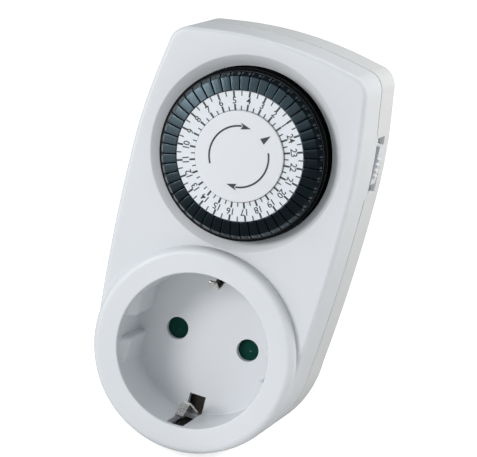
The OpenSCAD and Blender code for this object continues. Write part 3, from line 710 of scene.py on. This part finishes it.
ring_white = moulded("ring_white", (230, 234, 238), roughness=0.36, wear_and_glint=0.2)
ink = moulded("ink", (58, 60, 63), rubbed_and_glint=(90, 92, 96), roughness=0.5, grain=4000.0,
              depth=0.000004, wear_and_glint=0.2)
ring = spun([(5.0, ring_seat), (16.0, ring_seat), (16.0, 33.98), (15.9, ring_front),
             (5.0, ring_front)], 0, dial_y, 128)
dressed(solid(ring), "hour_ring", "dial", ring_white, ["printed_ring"])


def numeral(text, height, radius, degrees):
    """The text as thin solid letters, its foot towards the dial's axis."""
    curve = bpy.data.curves.new("numeral", "FONT")
    curve.body = text
    curve.size = height
    curve.align_x = "CENTER"
    curve.align_y = "CENTER"
    curve.space_character = 0.92
    curve.extrude = 0.02
    curve.offset = 0.025
    curve.resolution_u = 2
    letter = bpy.data.objects.new("numeral", curve)
    bpy.context.scene.collection.objects.link(letter)
    graph = bpy.context.evaluated_depsgraph_get()
    mesh = bpy.data.meshes.new_from_object(letter.evaluated_get(graph))
    bpy.data.objects.remove(letter)
    bm = bmesh.new()
    bm.from_mesh(mesh)
    bpy.data.meshes.remove(mesh)
    turned(bm, -90)
    bmesh.ops.translate(bm, verts=bm.verts, vec=(radius, 0, ring_front + 0.01))
    return turned(bm, degrees)


marks_and_cap_shadow = []
for half_hour in range(tab_count):
    angle = ring_phase + tab_pitch * half_hour
    width, spans = half_stroke if half_hour % 2 else hour_stroke
    for inner, outer in spans:
        stroke = box((inner, -width / 2, ink_back), (outer, width / 2, ink_front))
        marks_and_cap_shadow.append(turned(stroke, angle))
    if half_hour % 2 == 0:
        hour = (first_hour + half_hour // 2 - 1) % 24 + 1
        marks_and_cap_shadow.append(numeral(str(hour), 2.3, 13.6, angle))
# A thin dark ring of ink just outside the cap's edge: a painted shadow of the cap, not print.
marks_and_cap_shadow.append(spun([(11.24, ink_back), (11.34, ink_back), (11.34, ink_front),
                     (11.24, ink_front)]))
ring_ink_and_cap_shadow = together(marks_and_cap_shadow)
bmesh.ops.translate(ring_ink_and_cap_shadow, verts=ring_ink_and_cap_shadow.verts, vec=(0, dial_y, 0))
dressed(solid(ring_ink_and_cap_shadow), "hour_print_and_cap_shadow", "dial", ink)


# ---- Centre cap ---------------------------------------------------------------------------
# A white disc pressed into the fixed post. Two printed arrows say which way the dial is
# turned, and a printed pointer marks the time of day.
cap_front = 34.8
ink_height = 0.04

cap_white = moulded("cap_white", (230, 231, 234), roughness=0.36, wear_and_glint=0.4)
cap = spun([(0, 27.3), (1.3, 27.3), (1.45, 27.5), (1.45, 34.15), (11.0, 34.15), (11.2, 34.2),
            (11.2, 34.5), (11.11, 34.7), (10.9, cap_front), (0, cap_front)], 0, dial_y, 96)
dressed(solid(cap), "centre_disc", "housing", cap_white, ["centre_cap"])


def arrow(start, head, end):
    """Printed arc that runs clockwise to its head; the head's tip is at end."""
    bm = bmesh.new()
    corners = ((7.28, 0), (7.72, 0), (7.72, ink_height), (7.28, ink_height))
    ribbon = bm.faces.new([bm.verts.new((r, 0, z)) for r, z in corners])
    bmesh.ops.spin(bm, geom=[ribbon, *ribbon.edges, *ribbon.verts], cent=(0, 0, 0),
                   axis=(0, 0, 1), angle=math.radians(head - start), steps=28)
    bmesh.ops.holes_fill(bm, edges=bm.edges, sides=0)
    turned(bm, start)
    barb = [(*polar(r, a), 0)
            for r, a in ((8.35, head + 2), (7.5, head - 2), (6.65, head + 2), (7.42, end))]
    return together([bm, plate(barb, ink_height, (0, 0, 1))])


pointer = [(*polar(r, a), 0) for r, a in ((9.55, 47.7), (7.0, 54.6), (7.0, 40.8))]
marks = together([arrow(209, 99, 80.4), arrow(383, 278, 259.5),
                  plate(pointer, ink_height, (0, 0, 1))])
bmesh.ops.translate(marks, verts=marks.verts, vec=(0, dial_y, cap_front - 0.01))
dressed(solid(marks), "cap_print", "housing", ink)


# ---- Slide switch --------------------------------------------------------------------------
# A white slider in the right wall: a plate inside the shell and a pad in the window, with
# four small ridges for the thumb.
rail_end = 9.6
rail_inset = 1.4
pad_back, pad_front = 6.2, 10.8
pad_half = 5.0
pad_top = side_x(window_y) + 0.02
ridge_top = 28.8
ridge_pitch = 1.45

slider = solid(plate(side_strip(window_y, rail_end, rail_inset, pad_back),
                     pad_front - pad_back, (0, 0, 1)))
machined(slider, "UNION", eased(box((24.5, window_y - pad_half, pad_back),
                                    (pad_top, window_y + pad_half, pad_front)), 0.2))
machined(slider, "UNION", together(
    [eased(box((pad_top - 0.3, window_y + i * ridge_pitch - 1.0, pad_front - 2.7),
               (ridge_top, window_y + i * ridge_pitch - 0.3, pad_front - 0.05)), 0.18, 3)
     for i in (-1.5, -0.5, 0.5, 1.5)]))
dressed(slider, "slide_pad", "slider", case_white, ["slide_knob"])


# ---- Floor, lamps and camera ----------------------------------------------------------------
# A plain white floor and even light from all round. A soft lamp stands low at the front left
# and a small one behind to the right; in gloss only the front left is bright, as from a card.
floor_z = -0.0272
floor_glow = 0.72
eye = Vector((0.185635, -0.770692, 0.194470))
right = Vector((0.92793054, 0.28185139, 0.24393585))
up = Vector((-0.29021203, 0.13558195, 0.94730909))
back = Vector((0.23392708, -0.94983016, 0.2076073))
lens = 241.15
lamps = [       # name, place, what it points at, size, power and colour
    ("key", (-0.62, -0.93, 0.18), (0, -0.02, 0.03), 0.4, 5.15, (1, 0.985, 0.98)),
    ("side", (0.21, 0.05, 0.23), (0.02, -0.01, 0.04), 0.12, 0.62, (1, 0.985, 0.96)),
]

bm = bmesh.new()
bmesh.ops.create_grid(bm, x_segments=8, y_segments=8, size=4.0,
                      matrix=Matrix.Translation((0, 0, floor_z)))
floor = solid(bm)
floor.name = "floor"
floor_white = bpy.data.materials.new("floor_white")
floor_white.use_nodes = True
tree = floor_white.node_tree
shader = tree.nodes["Principled BSDF"]
where = put(tree, "ShaderNodeTexCoord").outputs["Object"]
paper = tinted(tree, noise(tree, where, 6.0), (0.90, 0.90, 0.90, 1), (0.92, 0.92, 0.92, 1))
seen = put(tree, "ShaderNodeLightPath").outputs
direct = calc(tree, "MAXIMUM", seen["Is Camera Ray"], seen["Is Glossy Ray"])
glow = calc(tree, "MAXIMUM", direct, seen["Is Transmission Ray"])
ways = put(tree, "ShaderNodeSeparateXYZ", {"Vector": where}).outputs
card = calc(tree, "MULTIPLY", ramp(tree, ways["X"], -0.05, -0.15),
            ramp(tree, ways["Y"], -0.12, -0.24))
shown = mixed(tree, seen["Is Glossy Ray"], 1.0, ramp(tree, card, 0.0, 1.0, 0.06, 1.0))
lift = calc(tree, "MULTIPLY", calc(tree, "MULTIPLY", glow, shown), floor_glow)
tree.links.new(tinted(tree, shown, (0, 0, 0, 1), paper), shader.inputs["Base Color"])
tree.links.new(lift, shader.inputs["Emission Strength"])
shader.inputs["Emission Color"].default_value = (1, 1, 1, 1)
shader.inputs["Roughness"].default_value = 0.9
shader.inputs["Specular IOR Level"].default_value = 0.0
floor.data.materials.append(floor_white)

sky = bpy.data.worlds.new("sky")
bpy.context.scene.world = sky
sky.use_nodes = True
tree = sky.node_tree
shade = tree.nodes["Background"]
seen = put(tree, "ShaderNodeLightPath").outputs
ways = put(tree, "ShaderNodeTexCoord").outputs["Generated"]
soft_box = ramp(tree, dot(tree, ways, (-0.55, -0.3, 0.78)), 0.12, 0.58, kind="SMOOTHSTEP")
fill = ramp(tree, soft_box, 0.0, 1.0, 0.08, 0.70)
gloss = ramp(tree, dot(tree, ways, (-0.45, -0.88, 0.12)), 0.8, 0.95, 0.05, 1.1, "SMOOTHSTEP")
clear = calc(tree, "MAXIMUM", seen["Is Camera Ray"], seen["Is Transmission Ray"])
level = mixed(tree, clear, mixed(tree, seen["Is Glossy Ray"], fill, gloss), 1.0)
tree.links.new(level, shade.inputs["Strength"])
tree.links.new(tinted(tree, clear, (0.91, 0.965, 1, 1), (1, 1, 1, 1)), shade.inputs["Color"])

for name, place, aim, size, power, colour in lamps:
    lamp = bpy.data.lights.new(name, "AREA")
    lamp.shape = "DISK"
    lamp.size = size
    lamp.energy = power
    lamp.color = colour
    holder = bpy.data.objects.new(name, lamp)
    holder.location = place
    holder.visible_glossy = name == "key"
    holder.rotation_euler = (Vector(aim) - Vector(place)).to_track_quat("-Z", "Y").to_euler()
    bpy.context.scene.collection.objects.link(holder)

lens_data = bpy.data.cameras.new("camera")
lens_data.sensor_fit = "HORIZONTAL"
lens_data.sensor_width = 36.0
lens_data.lens = lens
lens_data.clip_start = 0.01
lens_data.clip_end = 20.0
camera = bpy.data.objects.new("camera", lens_data)
bpy.context.scene.collection.objects.link(camera)
turn = Matrix((right, up, back)).transposed().to_4x4()
camera.matrix_world = Matrix.Translation(eye) @ turn
bpy.context.scene.camera = camera
bpy.context.scene.view_settings.view_transform = "Standard"
